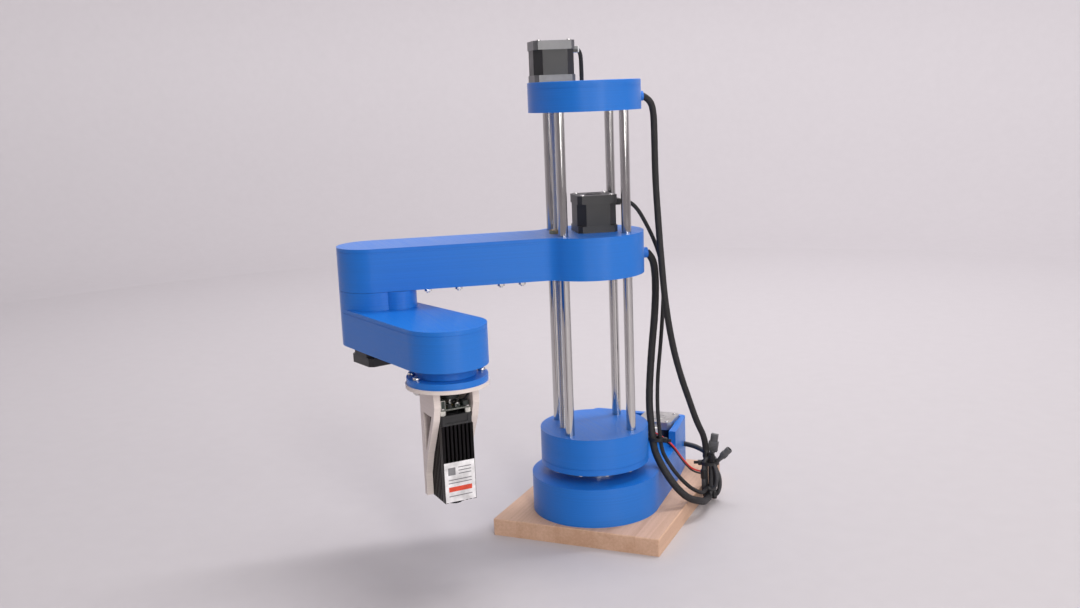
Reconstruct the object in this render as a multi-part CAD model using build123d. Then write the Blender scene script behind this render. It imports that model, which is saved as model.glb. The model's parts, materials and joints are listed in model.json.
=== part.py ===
"""A tabletop SCARA robot arm with a laser tool, as separate bodies and fasteners.

Millimetres. The origin is on the column's turning axis at the underside of the board, +Z is up,
+Y points to the tail that holds the base motor, and +X to the side where the cables hang.
Each function makes one sub-part where it stands at rest.
"""
from build123d import *
import math
import os

# ---- heights above the table
BOARD_T = 18.6
BASE_TOP = 60.4
TAIL_TOP = 80.0
COLUMN_LOW = 71.8
COLUMN_SEAM = 78.3
COLUMN_TOP = 111.0
ARM_1_LOW = 280.0
ARM_1_SEAM = 320.0
ARM_1_TOP = 324.0
ARM_2_LOW = 222.9
ARM_2_SEAM = 257.6
ARM_2_TOP = 261.6
HEAD_LOW = 450.1
HEAD_SEAM = 474.1
HEAD_TOP = 480.6
FLANGE_TOP = 212.7
FLANGE_LOW = 206.6
BRACKET_LOW = 203.0

# ---- plan sizes
BOARD_X = (-91.8, 95.4)
BOARD_Y = (-74.4, 175.6)
BASE_R = 69.5
COLUMN_R = 58.8
CARRIAGE_R = 58.5
ARM_R = 36.0
WRIST_R = 40.0
FLANGE_R = 38.7
TAIL_HALF = 58.5
TAIL_END = 160.0
TAIL_WALL_START = 92.0
TAIL_WALL_T = 8.0
ARM_SEAM_X = 61.4
ARM_1_LENGTH = 228.0
ARM_2_LENGTH = 136.5
ROD_X = 33.6
ROD_Y = 30.7
ROD_R = 5.0
ROD_LOW = 80.0
ROD_HIGH = 480.0
SCREW_R = 4.0
WALL = 4.0
GAP = 0.3
RUNNING = 0.05
SEAM_DEPTH = 0.35
SMALLEST_ARC = 0.5

# ---- headings of the two arms and of the tool, in degrees from +X
ARM_1_HEADING = 214.0
ARM_2_HEADING = 329.5
TOOL_HEADING = 320.0
ELBOW = (
    ARM_1_LENGTH * math.cos(math.radians(ARM_1_HEADING)),
    ARM_1_LENGTH * math.sin(math.radians(ARM_1_HEADING)),
)
WRIST = (
    ELBOW[0] + ARM_2_LENGTH * math.cos(math.radians(ARM_2_HEADING)),
    ELBOW[1] + ARM_2_LENGTH * math.sin(math.radians(ARM_2_HEADING)),
)

# ---- stepper motors: 42.3 mm square, shaft 5 mm
MOTOR_HALF = 21.15
MOTOR_CAP_CUT = 4.0
MOTOR_STACK_CUT = 8.2
MOTOR_FRONT = 7.0
MOTOR_REAR = 9.0
SHAFT_R = 2.5
SHAFT_OUT = 20.0
PILOT_R = 11.0
PILOT_T = 2.0
J1_MOTOR_AT = (32.0, 131.0)
J1_MOTOR_FLANGE = 44.0
J2_MOTOR_AT = (-7.3, -3.0)

# ---- toothed belts and pulleys
SMALL_PULLEY_R = 6.4
BIG_PULLEY_R = 25.5
COLUMN_PULLEY_R = 31.8
BELT_T = 1.5
BELT_W = 6.0
J1_MID_AT = (-12.0, 80.0)
J2_MID_AT = (112.0, 0.0)
AXLE_R = 4.0

# ---- laser module, in the tool's frame (x towards its front face)
LASER_HALF = 16.0
LASER_LOW = 92.0
LASER_TOP = 167.5
LASER_AT = 2.0
CHEEK_INNER = 16.3
CHEEK_OUTER = 22.8
BRACKET_BACK = -17.2

# ---- cable routes, from where each one leaves the object
TOP_LOOM_D = 7.2
ARM_LOOM_D = 8.2
LEAD_D = 4.4
WIRE_D = 2.0
TAIL_LEAD_D = 6.0
TOP_LOOM = [(51.6, 36.1, 463), (58, 40.5, 459), (61.5, 42, 447), (62.5, 40, 421), (63, 39, 376),
            (67, 34, 330), (71.5, 28, 288), (76, 26, 240), (82, 31, 194), (87, 42, 160),
            (92, 56, 130), (96, 71, 101), (101, 91, 74), (101, 91, 56.1)]
ARM_LOOM_UPPER = [(52.3, 38, 297), (57, 41.5, 291.5), (59, 44.5, 277), (58.5, 47, 252), (56, 48.5, 222),
                  (53, 47, 192), (51, 43.5, 156), (51, 39.5, 132), (53, 35.5, 113), (57, 30.5, 91.2)]
ARM_LOOM_LOWER = [(57, 30.5, 91), (59, 28, 80), (66, 21.5, 70), (76.5, 14, 58), (88, 16, 41),
                  (98.5, 25, 27), (107, 39, 20), (108, 55, 13.5), (106, 70, 10), (106, 81.9, 10)]
JOINT_2_LEAD_UPPER = [(26.6, 21.6, 354), (35, 27.3, 354.4), (44, 32, 346), (52, 36, 330), (60, 41, 310),
                      (66, 46, 286), (67, 49, 254), (64, 52, 222), (61, 52.5, 190), (58.5, 49.5, 160),
                      (59, 44, 136), (61, 38.5, 112), (65.5, 32.5, 88.3)]
JOINT_2_LEAD_LOWER = [(65.5, 32.5, 88), (67.5, 29.8, 77.5), (75, 26.5, 67), (84, 28, 53), (96, 35, 37),
                      (104, 49, 26), (105, 66, 20), (104, 81.9, 20)]
MOTOR_WIRES = [(36, 104.2, 75), (36.6, 99, 75.4), (41, 92.5, 76), (52, 86, 74), (65, 81.5, 67),
               (75, 79, 55), (84, 80, 44), (90, 86, 38), (96.9, 87, 37)]
TAIL_LEAD = [(57.5, 146.5, 48), (70, 145.4, 47.4), (83, 137.5, 46), (96, 125, 45), (107, 114, 43), (107, 102.1, 43)]
Z_MOTOR_LEAD = [(6.7, 0, 512.4), (4.4, 0, 512), (2.6, 0.3, 507), (2.2, 0.8, 497), (2.3, 0.8, 480.7)]
HANK_LOW = (97, 82, 2)
HANK_HIGH = (119, 102, 56)


def upright(radius, low, high, at=(0, 0)):
    return Pos(at[0], at[1], (low + high) / 2) * Cylinder(radius, high - low)


def tube(outer, inner, low, high, at=(0, 0)):
    return upright(outer, low, high, at) - upright(inner, low - 1, high + 1, at)


def block(x, y, z):
    """A box given by its two limits along each axis."""
    size = [b - a for a, b in (x, y, z)]
    centre = [(a + b) / 2 for a, b in (x, y, z)]
    return Pos(*centre) * Box(*size)


def raised(sketch, low, high):
    return Pos(0, 0, low) * extrude(sketch, high - low)


def seam_groove(outline, z):
    """The shallow groove where two printed shells meet, for an outline given by its inset."""
    return raised(outline(-1.0) - outline(SEAM_DEPTH), z - SEAM_DEPTH, z + SEAM_DEPTH)


def ring_of(count, radius, start=0.0):
    return [
        (
            radius * math.cos(math.radians(start + 360 / count * i)),
            radius * math.sin(math.radians(start + 360 / count * i)),
        )
        for i in range(count)
    ]


def on_arm_1(shape):
    return Rot(0, 0, ARM_1_HEADING) * shape


def on_arm_2(shape):
    return Pos(ELBOW[0], ELBOW[1], 0) * Rot(0, 0, ARM_2_HEADING) * shape


def on_tool(shape):
    return Pos(WRIST[0], WRIST[1], 0) * Rot(0, 0, TOOL_HEADING) * shape


def group(solids):
    return Compound(children=[piece for shape in solids for piece in shape.solids()])


def hull_of_circles(circles):
    """The outline round several circles, each (x, y, radius)."""
    edges = []
    for x, y, r in circles:
        edges += (Pos(x, y) * Circle(r)).edges()
    return make_hull(edges)


# ---------------------------------------------------------------- motors, pulleys, bearings
def cut_square(half, cut):
    points = [
        (half, half - cut), (half - cut, half), (cut - half, half), (-half, half - cut),
        (-half, cut - half), (cut - half, -half), (half - cut, -half), (half, cut - half),
    ]
    return make_face(Polyline(*points, close=True))


def motor_case(length):
    """End caps, lamination stack and plug socket of a motor whose flange is at z = 0, body upward."""
    cap = cut_square(MOTOR_HALF, MOTOR_CAP_CUT)
    stack = cut_square(MOTOR_HALF - 0.2, MOTOR_STACK_CUT)
    hollow = upright(14.0, 4.0, length - 4.0) + upright(SHAFT_R + RUNNING, -3.0, length - 2.0)
    screws = [upright(1.5, -1, 4, at) for at in ring_of(4, 31.0 / math.sqrt(2), 45)]
    front = raised(cap, 0, MOTOR_FRONT) + upright(PILOT_R, -PILOT_T, 1) - hollow - screws
    middle = raised(stack, MOTOR_FRONT, length - MOTOR_REAR) - hollow
    rear = raised(cap, length - MOTOR_REAR, length) - hollow
    plug = block((-MOTOR_HALF - 5.5, -MOTOR_HALF), (-8, 8), (length - 12, length - 6))
    return [front, middle, rear, plug]


def motor_rotor(length):
    """The rotor and its shaft, in one piece on the motor's axis."""
    return upright(13.0, 6.0, length - 6.0) + upright(SHAFT_R, -SHAFT_OUT, length - 3.0)


def pulley(radius, low, high, bore, at=(0, 0)):
    """A toothed pulley with two flanges."""
    flange = 0.8
    body = upright(radius, low, high, at)
    rims = upright(radius + 1.2, low, low + flange, at) + upright(radius + 1.2, high - flange, high, at)
    return body + rims - upright(bore, low - 1, high + 1, at)


def belt(first, first_r, second, second_r, low):
    """A closed belt round two pulleys, a little clear of their teeth."""
    inner = hull_of_circles([(*first, first_r + GAP), (*second, second_r + GAP)])
    outer = hull_of_circles([(*first, first_r + GAP + BELT_T), (*second, second_r + GAP + BELT_T)])
    return raised(outer - inner, low, low + BELT_W)


def ball_bearing(outer, bore, low, high, at=(0, 0)):
    """The outer and inner rings and the shield between them, as three solids."""
    third = (outer - bore) / 3
    return [
        tube(outer, outer - third, low, high, at),
        tube(bore + third, bore, low, high, at),
        tube(outer - third, bore + third, low + 0.6, high - 0.6, at),
    ]


def thrust_balls(count, pitch_r, ball_r, z):
    """A ring of balls in a thin cage."""
    places = ring_of(count, pitch_r)
    cage = tube(pitch_r + ball_r * 1.25, pitch_r - ball_r * 1.25, z - 0.7, z + 0.7)
    balls = [Pos(x, y, z) * Sphere(ball_r) for x, y in places]
    return [cage - [upright(ball_r + RUNNING, z - 2, z + 2, at) for at in places]] + balls


# ---------------------------------------------------------------- board and base
def base_outline(inset=0.0):
    """The round base with its tail; a deep inset moves the tail's corners in once their arcs are used up."""
    circles = [(0, 0, BASE_R - inset)]
    for x, y, radius, at_end in ((TAIL_HALF, 108, 5.5, 0), (TAIL_HALF - 6, TAIL_END - 6, 6, 1)):
        corner = max(radius - inset, SMALLEST_ARC)
        shift = inset - (radius - corner)
        circles += [(side * (x - shift), y - at_end * shift, corner) for side in (-1, 1)]
    return hull_of_circles(circles)


BASE_SCREW_PLACES = [(-45, -35), (45, -35), (-50, 145), (50, 90)]


def mounting_board():
    board = block(BOARD_X, BOARD_Y, (0, BOARD_T))
    board = chamfer(board.edges().filter_by(Axis.Z) + board.faces().sort_by(Axis.Z)[-1].edges(), 0.8)
    return board - [upright(2.0, 6, BOARD_T + 1, at) for at in BASE_SCREW_PLACES]


def base_screws():
    """Four wood screws from the base's floor into the board, and the shoulder bolt of the middle pulley."""
    floor = BOARD_T + WALL
    screws = [upright(1.95, 7, floor, at) + upright(4.0, floor, floor + 2.4, at) for at in BASE_SCREW_PLACES]
    axle = upright(AXLE_R, floor, BASE_TOP - 5, J1_MID_AT)
    return screws + [axle]


def base_housing():
    """Round base and tail in one shell, with a raised wall round the tail and a shelf for the motor."""
    floor = BOARD_T + WALL
    shell = raised(base_outline(), BOARD_T, BASE_TOP) - raised(base_outline(WALL), floor, BASE_TOP - 5)
    wall = raised(base_outline() - base_outline(TAIL_WALL_T), BASE_TOP - 1, TAIL_TOP)
    wall -= block((-80, 80), (-80, TAIL_WALL_START), (50, 90))
    ledge = base_outline(WALL) - Pos(0, TAIL_WALL_START - 90) * Rectangle(300, 290)
    shell += wall
    shell += tube(28, 23.5, 46, BASE_TOP - 4)
    shell += block((8, 56), (107, 155), (J1_MOTOR_FLANGE - WALL, J1_MOTOR_FLANGE)) & raised(ledge, 30, 60)
    shell += [block((6, 10), (y, y + 4), (floor, J1_MOTOR_FLANGE)) for y in (107, 151)]
    shell -= block(
        [J1_MOTOR_AT[0] + s * (MOTOR_HALF + 0.4) for s in (-1, 1)],
        [J1_MOTOR_AT[1] + s * (MOTOR_HALF + 0.4) for s in (-1, 1)],
        (J1_MOTOR_FLANGE, 90),
    )
    shell -= upright(PILOT_R + 0.2, 30, 50, J1_MOTOR_AT)
    shell -= block((-5, 12), (114, 148), (50, 70))
    shell -= upright(19, 40, 70)
    shell -= upright(30.05, BASE_TOP - 1, BASE_TOP + 1)
    shell -= upright(23.5, 48.4, BASE_TOP - 5)
    shell -= Pos(*TAIL_LEAD[0]) * Rot(0, 90, 0) * Cylinder(TAIL_LEAD_D / 2 + GAP, 14)
    shell -= [upright(2.0, 10, 30, at) for at in BASE_SCREW_PLACES]
    return shell


def base_bearings():
    """The ball bearing round the column's neck, and the lower race of the thrust bearing."""
    return ball_bearing(23.5, 17.5 + RUNNING, 48.4, 55.4) + [tube(30, 20.1, BASE_TOP - 1, 62.6)]


def j1_motor():
    place = Pos(J1_MOTOR_AT[0], J1_MOTOR_AT[1], J1_MOTOR_FLANGE) * Rot(0, 0, 90)
    return [place * s for s in motor_case(40)]


def j1_motor_rotor():
    place = Pos(J1_MOTOR_AT[0], J1_MOTOR_AT[1], J1_MOTOR_FLANGE)
    return [place * motor_rotor(40), pulley(SMALL_PULLEY_R, 24.6, 34, SHAFT_R, J1_MOTOR_AT)]


def j1_mid_pulley():
    large = pulley(BIG_PULLEY_R, 24.6, 33.4, AXLE_R + RUNNING, J1_MID_AT)
    return large + pulley(SMALL_PULLEY_R, 33, 42, AXLE_R + RUNNING, J1_MID_AT)


def j1_belts():
    return [
        belt(J1_MOTOR_AT, SMALL_PULLEY_R, J1_MID_AT, BIG_PULLEY_R, 26),
        belt(J1_MID_AT, SMALL_PULLEY_R, (0, 0), COLUMN_PULLEY_R, 34.5),
    ]


# ---------------------------------------------------------------- column
PLATE_BOLT_PLACES = ring_of(12, 53, 60)
ROD_PLACES = [(ROD_X, ROD_Y), (ROD_X, -ROD_Y), (-ROD_X, ROD_Y), (-ROD_X, -ROD_Y)]


def column_outline(inset=0.0):
    return Circle(COLUMN_R - inset)


def column_base_plate():
    plate = upright(COLUMN_R, COLUMN_LOW, COLUMN_SEAM) - upright(12, 60, 90)
    plate -= seam_groove(column_outline, COLUMN_SEAM)
    plate -= tube(30.05, 17.6, COLUMN_LOW - 1, COLUMN_LOW + 0.6)
    return on_arm_1(plate - [upright(1.6, 60, 90, at) for at in PLATE_BOLT_PLACES])


def column_coupler():
    """The neck under the column, and the large pulley bolted to its lower end."""
    neck = tube(17.5, 12, 42, COLUMN_LOW)
    return [neck, pulley(COLUMN_PULLEY_R, 33, 42, 8)]


def column_base_bolts():
    bolts = []
    for at in PLATE_BOLT_PLACES:
        bolts.append(upright(1.5, COLUMN_LOW, COLUMN_SEAM + 10, at) + upright(2.8, COLUMN_LOW - 2, COLUMN_LOW, at))
    return [on_arm_1(b) for b in bolts]


def column_base_cup():
    """The tall cover over the column's foot, with sockets for the rods and the screw's bearing."""
    cup = upright(COLUMN_R, COLUMN_SEAM, COLUMN_TOP) - upright(COLUMN_R - WALL, COLUMN_SEAM - 1, COLUMN_TOP - 5)
    cup += [upright(3.2, COLUMN_SEAM, COLUMN_TOP - 4, at) for at in PLATE_BOLT_PLACES]
    cup += tube(14, 11, 96, COLUMN_TOP - 4, (ROD_X, 0))
    cup -= [upright(1.5, 70, COLUMN_SEAM + 10, at) for at in PLATE_BOLT_PLACES]
    cup -= [upright(ROD_R + 0.1, 70, 120, at) for at in ROD_PLACES]
    cup -= upright(SCREW_R + 0.6, 70, 120, (ROD_X, 0))
    return on_arm_1(cup - seam_groove(column_outline, COLUMN_SEAM))


def thrust_bearing():
    """The balls, their cage and the upper race under the column."""
    return thrust_balls(18, 25, 3.0, 65.9) + [tube(30, 20.1, 69.2, 72.4)]


def rod_clamps():
    """Split collars that hold both ends of each guide rod."""
    clamps = []
    for x, y in ROD_PLACES:
        for low in (COLUMN_SEAM, HEAD_LOW + 5):
            collar = tube(9, ROD_R, low, low + 12, (x, y))
            inward = math.copysign(1, -x)
            slot = block(sorted((x + inward * 4, x + inward * 10)), (y - 0.6, y + 0.6), (low - 1, low + 13))
            clamps.append(on_arm_1(collar - slot))
    return clamps


def guide_rods():
    rods = []
    for at in ROD_PLACES:
        rod = upright(ROD_R, ROD_LOW, ROD_HIGH, at)
        rods.append(on_arm_1(chamfer(rod.edges().filter_by(GeomType.CIRCLE), 0.5)))
    return rods


def screw_bearing():
    return [on_arm_1(s) for s in ball_bearing(11, SCREW_R + RUNNING, 99, 106, (ROD_X, 0))]


def top_plate_cup():
    """The underside and rim of the head, with the outlet of the upper cable loom at the back."""
    cup = upright(COLUMN_R, HEAD_LOW, HEAD_SEAM) - upright(COLUMN_R - WALL, HEAD_LOW + 5, HEAD_SEAM + 1)
    cup -= [upright(ROD_R + 0.1, 440, 500, at) for at in ROD_PLACES]
    cup -= upright(SCREW_R + 1.0, 440, 500, (ROD_X, 0))
    cup -= seam_groove(column_outline, HEAD_SEAM)
    outlet = Pos(0, 0, TOP_LOOM[0][2]) * Rot(0, 90, 0)
    collar = outlet * (Pos(0, 0, 59.5) * Cylinder(TOP_LOOM_D / 2 + 1.6, 6.8))
    bore = outlet * (Pos(0, 0, 59.5) * Cylinder(TOP_LOOM_D / 2, 16))
    heading = Rot(0, 0, math.degrees(math.atan2(TOP_LOOM[0][1], TOP_LOOM[0][0])))
    return on_arm_1(cup) + heading * collar - heading * bore


def top_plate_cover():
    cover = upright(COLUMN_R, HEAD_SEAM, HEAD_TOP)
    cover = chamfer(cover.edges().filter_by(GeomType.CIRCLE).sort_by(Axis.Z)[-1], 0.6)
    cover -= [upright(ROD_R + 0.1, 460, ROD_HIGH + 0.05, at) for at in ROD_PLACES]
    cover -= seam_groove(column_outline, HEAD_SEAM)
    return on_arm_1(cover - upright(PILOT_R + 0.2, 460, 500, (ROD_X, 0)))


def z_motor():
    place = Pos(ROD_X, 0, HEAD_TOP)
    return [on_arm_1(place * s) for s in motor_case(41)]


def z_motor_rotor():
    return on_arm_1(Pos(ROD_X, 0, HEAD_TOP) * motor_rotor(41))


def shaft_coupler():
    """The clamp coupling between the motor's shaft and the lead screw."""
    low, high = HEAD_LOW + 5.6, HEAD_TOP - 3
    body = upright(9.5, low, high, (ROD_X, 0)) - upright(SHAFT_R, 455, 490, (ROD_X, 0))
    body -= upright(SCREW_R, 440, HEAD_TOP - SHAFT_OUT, (ROD_X, 0))
    slit = block((ROD_X, ROD_X + 12), (-0.5, 0.5), (low - 1, high + 1))
    return on_arm_1(body - slit)


def lead_screw():
    screw = upright(SCREW_R, 84, HEAD_TOP - SHAFT_OUT, (ROD_X, 0))
    return on_arm_1(chamfer(screw.edges().filter_by(GeomType.CIRCLE), 0.8))


# ---------------------------------------------------------------- carriage and first arm
def carriage_outline(inset=0.0):
    half = ARM_R - inset
    neck = Pos((ARM_SEAM_X + 1) / 2, 0) * Rectangle(ARM_SEAM_X + 1, 2 * half)
    outline = Circle(CARRIAGE_R - inset) + neck
    concave = outline.vertices().filter_by(lambda v: 30 < v.X < ARM_SEAM_X - 2)
    outline = fillet(concave, 20 + inset)
    return outline & (Pos(ARM_SEAM_X - 100, 0) * Rectangle(200, 200))


def arm_1_outline(inset=0.0):
    straight = Pos((ARM_SEAM_X + ARM_1_LENGTH) / 2, 0) * Rectangle(ARM_1_LENGTH - ARM_SEAM_X, 2 * (ARM_R - inset))
    return straight + Pos(ARM_1_LENGTH, 0) * Circle(ARM_R - inset)


def carriage_housing():
    """The round shell that runs on the rods, open towards the arm, with the loom's outlet behind."""
    floor, ceiling = ARM_1_LOW + WALL, ARM_1_TOP - WALL
    shell = raised(carriage_outline(), ARM_1_LOW, ARM_1_TOP)
    inside = carriage_outline(WALL) + Pos(ARM_SEAM_X, 0) * Rectangle(8, 2 * (ARM_R - WALL))
    shell -= raised(inside, floor, ceiling)
    shell += [tube(12.4, 9.5, floor - 1, ceiling + 1, at) for at in ROD_PLACES]
    shell &= raised(carriage_outline(), ARM_1_LOW, ARM_1_TOP)
    shell -= [upright(ROD_R + 0.4, 270, 330, at) for at in ROD_PLACES]
    shell -= [upright(9.5, floor, ceiling, at) for at in ROD_PLACES]
    shell -= upright(SCREW_R + 1.2, 270, 300, (ROD_X, 0))
    shell -= upright(5.15, 300, 330, (ROD_X, 0))
    shell -= upright(PILOT_R + 0.2, 300, 330, J2_MOTOR_AT)
    outlet = Pos(0, 0, ARM_LOOM_UPPER[0][2]) * Rot(0, 90, 0)
    heading = Rot(0, 0, math.degrees(math.atan2(ARM_LOOM_UPPER[0][1], ARM_LOOM_UPPER[0][0])))
    collar = heading * outlet * (Pos(0, 0, 60.7) * Cylinder(ARM_LOOM_D / 2 + 1.6, 7.9))
    bore = heading * outlet * (Pos(0, 0, 59.5) * Cylinder(ARM_LOOM_D / 2, 16))
    return on_arm_1(shell) + collar - bore


ARM_1_BOLT_PLACES = [(x, side * 28.0) for x in (78, 100, 143.6, 175) for side in (-1, 1)]


def arm_1_housing():
    floor = ARM_1_LOW + WALL
    shell = raised(arm_1_outline(), ARM_1_LOW, ARM_1_SEAM)
    inside = arm_1_outline(WALL) + Pos(ARM_SEAM_X, 0) * Rectangle(8, 2 * (ARM_R - WALL))
    shell -= raised(inside, floor, ARM_1_SEAM + 1)
    shell += tube(25, 21, floor - 1, ARM_1_LOW + 8, (ARM_1_LENGTH, 0))
    shell -= upright(21, ARM_1_LOW + 1, ARM_1_LOW + 9, (ARM_1_LENGTH, 0))
    shell -= upright(17, 270, 290, (ARM_1_LENGTH, 0))
    shell -= [upright(2.0, 270, 290, at) for at in ARM_1_BOLT_PLACES]
    return on_arm_1(shell - seam_groove(arm_1_outline, ARM_1_SEAM))


def arm_1_lid():
    lid = raised(arm_1_outline(), ARM_1_SEAM, ARM_1_TOP)
    lip = arm_1_outline(WALL + GAP) - arm_1_outline(WALL + 2)
    lid -= seam_groove(arm_1_outline, ARM_1_SEAM)
    return on_arm_1(lid + raised(lip, ARM_1_SEAM - 2.5, ARM_1_SEAM))


def arm_1_bolts():
    """Bolts through the arm's floor with nuts below it, and the shoulder bolt of the middle pulley."""
    floor = ARM_1_LOW + WALL
    bolts = []
    for x, y in ARM_1_BOLT_PLACES:
        shank = upright(1.95, ARM_1_LOW - 4.6, floor, (x, y)) + upright(3.3, floor, floor + 3, (x, y))
        nut = Pos(x, y, 0) * raised(RegularPolygon(3.7, 6), ARM_1_LOW - 3.2, ARM_1_LOW)
        bolts.append(shank + nut)
    bolts.append(upright(AXLE_R, floor, ARM_1_SEAM, J2_MID_AT))
    return [on_arm_1(b) for b in bolts]


def linear_bearings():
    low = ARM_1_LOW + WALL
    bushes = []
    for at in ROD_PLACES:
        bush = tube(9.5, ROD_R + RUNNING, low, low + 29, at)
        grooves = [tube(10, 9.1, low + z, low + z + 1.3, at) for z in (4, 23.7)]
        bushes.append(on_arm_1(bush - grooves))
    return bushes


def lead_nut():
    """The flanged brass nut on the screw, with its four holes."""
    nut = upright(5.1, ARM_1_TOP - 10, ARM_1_TOP, (ROD_X, 0)) + upright(8.6, ARM_1_TOP, ARM_1_TOP + 3.5, (ROD_X, 0))
    holes = [(ROD_X + x, y) for x, y in ring_of(4, 6.9, 45)]
    nut -= [upright(0.9, 300, 340, at) for at in holes]
    return on_arm_1(nut - upright(SCREW_R + RUNNING, 300, 340, (ROD_X, 0)))


def j2_motor():
    place = Pos(*J2_MOTOR_AT, ARM_1_TOP)
    return [on_arm_1(place * s) for s in motor_case(39)]


def j2_motor_rotor():
    place = Pos(*J2_MOTOR_AT, ARM_1_TOP)
    wheel = pulley(SMALL_PULLEY_R, ARM_1_TOP - 20, ARM_1_TOP - 9.5, SHAFT_R, J2_MOTOR_AT)
    return [on_arm_1(place * motor_rotor(39)), on_arm_1(wheel)]


def j2_mid_pulley():
    large = pulley(BIG_PULLEY_R, 303.6, 314.4, AXLE_R + RUNNING, J2_MID_AT)
    return on_arm_1(large + pulley(SMALL_PULLEY_R, 288.6, 304, AXLE_R + RUNNING, J2_MID_AT))


def j2_belts():
    elbow = (ARM_1_LENGTH, 0)
    return [
        on_arm_1(belt(J2_MOTOR_AT, SMALL_PULLEY_R, J2_MID_AT, BIG_PULLEY_R, 306)),
        on_arm_1(belt(J2_MID_AT, SMALL_PULLEY_R, elbow, BIG_PULLEY_R, 291)),
    ]


def elbow_bearings():
    """The ball bearing in the arm's floor, and the upper race of the thrust bearing below it."""
    rings = ball_bearing(21, 15 + RUNNING, ARM_1_LOW + 1, ARM_1_LOW + 8) + [tube(26, 17.6, 276.8, ARM_1_LOW)]
    return [on_arm_1(Pos(ARM_1_LENGTH, 0, 0) * r) for r in rings]


# ---------------------------------------------------------------- second arm
def arm_2_outline(inset=0.0):
    return hull_of_circles([(0, 0, ARM_R - inset), (ARM_2_LENGTH, 0, WRIST_R - inset)])


J3_MOTOR_FLANGE = 235.5


def arm_2_housing():
    """The lower shell, with a square well for the motor and the wrist's bearing seat and collar."""
    floor = ARM_2_LOW + WALL
    wrist = (ARM_2_LENGTH, 0)
    well = MOTOR_HALF + 0.4
    shell = raised(arm_2_outline(), ARM_2_LOW, ARM_2_SEAM) - raised(arm_2_outline(WALL), floor, ARM_2_SEAM + 1)
    walls = block((-well - 2.5, well + 2.5), (-well - 2.5, well + 2.5), (floor - 1, J3_MOTOR_FLANGE + 3))
    shell += walls & raised(arm_2_outline(1), 220, 250)
    shell += tube(25, 21, floor - 1, ARM_2_LOW + 8, wrist)
    shell += tube(28, 26.3, FLANGE_TOP + GAP, ARM_2_LOW + 1, wrist)
    shell -= block((-well, well), (-well, well), (210, J3_MOTOR_FLANGE))
    shell -= upright(PILOT_R + 0.2, 230, 245)
    shell -= upright(21, ARM_2_LOW + 1, ARM_2_LOW + 9, wrist)
    shell -= upright(17, 210, 240, wrist)
    return on_arm_2(shell - seam_groove(arm_2_outline, ARM_2_SEAM))


def arm_2_lid():
    """The upper cover, with the ring that shields the elbow's thrust bearing and a stop lug on it."""
    lid = raised(arm_2_outline(), ARM_2_SEAM, ARM_2_TOP)
    ring = upright(ARM_R, ARM_2_TOP - 1, ARM_1_LOW - GAP)
    lug = upright(18.5, ARM_2_TOP - 1, ARM_1_LOW - GAP, (27.5, 12.5))
    lid += ring + lug - upright(27, ARM_2_TOP, 290)
    lid += tube(26, 17.2, ARM_2_TOP - 1, 267.6)
    lid -= seam_groove(arm_2_outline, ARM_2_SEAM)
    return on_arm_2(lid - upright(12, 250, 290))


def elbow_coupler():
    """The neck between the arms, and the large pulley on its upper end."""
    neck = tube(15, 10, ARM_2_TOP, 290)
    return [on_arm_2(neck), on_arm_2(pulley(BIG_PULLEY_R, 290, 298, 6))]


def elbow_thrust_bearing():
    return [on_arm_2(s) for s in thrust_balls(16, 21.8, 2.7, 273.8) + [tube(26, 17.2, 267.6, 270.8)]]


def j3_motor():
    place = Pos(0, 0, J3_MOTOR_FLANGE) * Rot(0, 180, 0)
    return [on_arm_2(place * s) for s in motor_case(34)]


def j3_motor_rotor():
    place = Pos(0, 0, J3_MOTOR_FLANGE) * Rot(0, 180, 0)
    return [on_arm_2(place * motor_rotor(34)), on_arm_2(pulley(SMALL_PULLEY_R, 242.5, 252.5, SHAFT_R))]


def j3_belt():
    return on_arm_2(belt((0, 0), SMALL_PULLEY_R, (ARM_2_LENGTH, 0), BIG_PULLEY_R, 244.5))


def wrist_bearings():
    """The ball bearing in the wrist's floor, and the upper race of the thrust bearing below it."""
    rings = ball_bearing(21, 15 + RUNNING, ARM_2_LOW + 1, ARM_2_LOW + 8)
    rings.append(tube(26, 17.6, 219.9, ARM_2_LOW))
    return [on_arm_2(Pos(ARM_2_LENGTH, 0, 0) * r) for r in rings]


# ---------------------------------------------------------------- tool
FLANGE_BOLT_PLACES = [(x, side * y) for x, y in ((5.5, 33.0), (-16.5, 30.0)) for side in (-1, 1)]


def wrist_coupler():
    """The neck of the tool flange, its large pulley, and the balls and lower race round it."""
    neck = tube(15, 10, FLANGE_TOP, 243)
    race = tube(26, 15.4, 211.7, 214.5)
    parts = [neck, pulley(BIG_PULLEY_R, 243, 252, 6), race] + thrust_balls(16, 21.8, 2.4, 217.2)
    return [on_tool(p) for p in parts]


def tool_flange():
    disc = upright(FLANGE_R, FLANGE_LOW, FLANGE_TOP) - tube(26.1, 15.3, 211.7, 220)
    disc -= upright(8, 200, 220)
    return on_tool(disc - [upright(2.1, 200, 220, at) for at in FLANGE_BOLT_PLACES])


def flange_bolts():
    bolts = []
    for x, y in FLANGE_BOLT_PLACES:
        bolt = upright(2.0, BRACKET_LOW - 4.5, FLANGE_TOP, (x, y)) + upright(3.5, FLANGE_TOP, FLANGE_TOP + 3.6, (x, y))
        nut = Pos(x, y, 0) * raised(RegularPolygon(3.9, 6), BRACKET_LOW - 3.2, BRACKET_LOW)
        bolts.append(on_tool(bolt + nut))
    return bolts


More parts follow.
